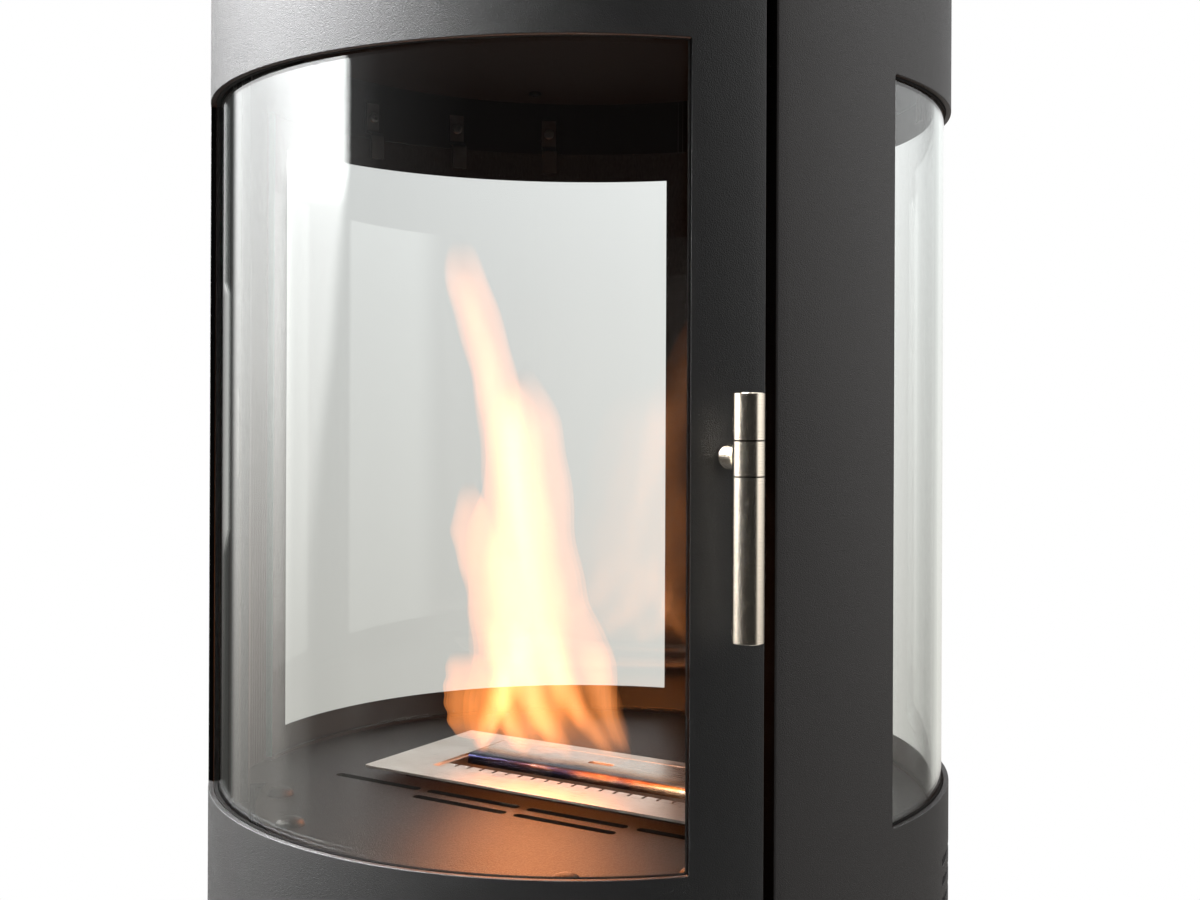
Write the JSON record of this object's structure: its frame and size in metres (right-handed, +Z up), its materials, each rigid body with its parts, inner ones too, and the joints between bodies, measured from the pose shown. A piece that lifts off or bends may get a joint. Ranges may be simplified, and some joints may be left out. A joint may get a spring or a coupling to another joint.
{
  "type": "bioethanol fireplace",
  "caption": "Free-standing round steel fireplace with curved side panes, a hinged glazed door with a turning handle, and a lift-out liquid-fuel burner with a sliding lid.",
  "frame": {"origin": "centre of the plinth's underside, on the axis of the round casing", "axes": "+Z up, -Y towards the front where the door is, +X to the right-hand side as seen from the front, which is the handle side"},
  "size_m": [0.43, 0.43, 1.03],
  "materials": {
    "powder_coated_steel": "fine-textured matt powder coat, charcoal",
    "plinth_steel": "matt powder coat, black",
    "inner_steel": "matt heat-resistant coat, black",
    "floor_cap_steel": "satin, grey-brown",
    "zinc_plated_steel": "dull zinc plating",
    "spring_steel": "heat-browned steel strip",
    "bearing_brass": "machined",
    "brushed_handle_steel": "fine brushed around the bar",
    "stainless_steel": "brushed along the burner",
    "heat_tinted_steel": "brushed, straw to blue temper colours at the lip",
    "clear_glass": "clear, faintly green at the edges",
    "black_seal": "flat woven seal, black",
    "ceramic_wool": "off-white fibre blanket"
  },
  "bodies": {
    "casing": {"plinth": "plinth_steel", "base_plate": "powder_coated_steel", "body_shell": "powder_coated_steel", "top_plate": "powder_coated_steel", "top_tabs": "inner_steel", "heat_baffle": "inner_steel", "baffle_posts": "zinc_plated_steel", "chamber_floor": "powder_coated_steel", "floor_caps": "floor_cap_steel", "floor_tabs": "inner_steel", "heat_shield": "inner_steel", "shield_tabs": "inner_steel", "side_glass_left": "clear_glass", "side_glass_right": "clear_glass", "side_seal_left": "black_seal", "side_seal_right": "black_seal", "side_clips": "spring_steel", "hinge_pin_lower": "zinc_plated_steel", "hinge_pin_upper": "zinc_plated_steel", "latch_keeper": "zinc_plated_steel"},
    "door": {"door_leaf": "powder_coated_steel", "door_rail_bottom": "inner_steel", "door_rail_top": "inner_steel", "door_sill": "inner_steel", "door_glass": "clear_glass", "door_seal": "black_seal", "door_clips": "spring_steel", "glass_clamps": "spring_steel", "handle_bush": "bearing_brass"},
    "handle": {"handle_post": "brushed_handle_steel", "handle_collar": "brushed_handle_steel", "handle_cap": "brushed_handle_steel", "handle_grip": "brushed_handle_steel", "latch_cam": "zinc_plated_steel", "cam_nut": "zinc_plated_steel"},
    "burner": {"burner_tray": "stainless_steel", "burner_deck": "stainless_steel", "burner_tank": "stainless_steel", "burner_wool": "ceramic_wool"},
    "lid": {"burner_lid": "heat_tinted_steel"}
  },
  "joints": [
    {"name": "door_hinge", "type": "hinge", "parent": "casing", "child": "door", "pos_m": [-0.16434, -0.12421, 0.528], "axis": [0, 0, -1], "range_deg": [0, 110]},
    {"name": "handle_turn", "type": "hinge", "parent": "door", "child": "handle", "pos_m": [0.16626, -0.13632, 0.736], "axis": [0.7733, -0.6341, 0], "range_deg": [0, 70]},
    {"name": "burner_lift", "type": "slide", "parent": "casing", "child": "burner", "axis": [0, 0, 1], "range_m": [0, 0.09]},
    {"name": "lid_slide", "type": "slide", "parent": "burner", "child": "lid", "axis": [0, -1, 0], "range_m": [0, 0.0195]}
  ]
}
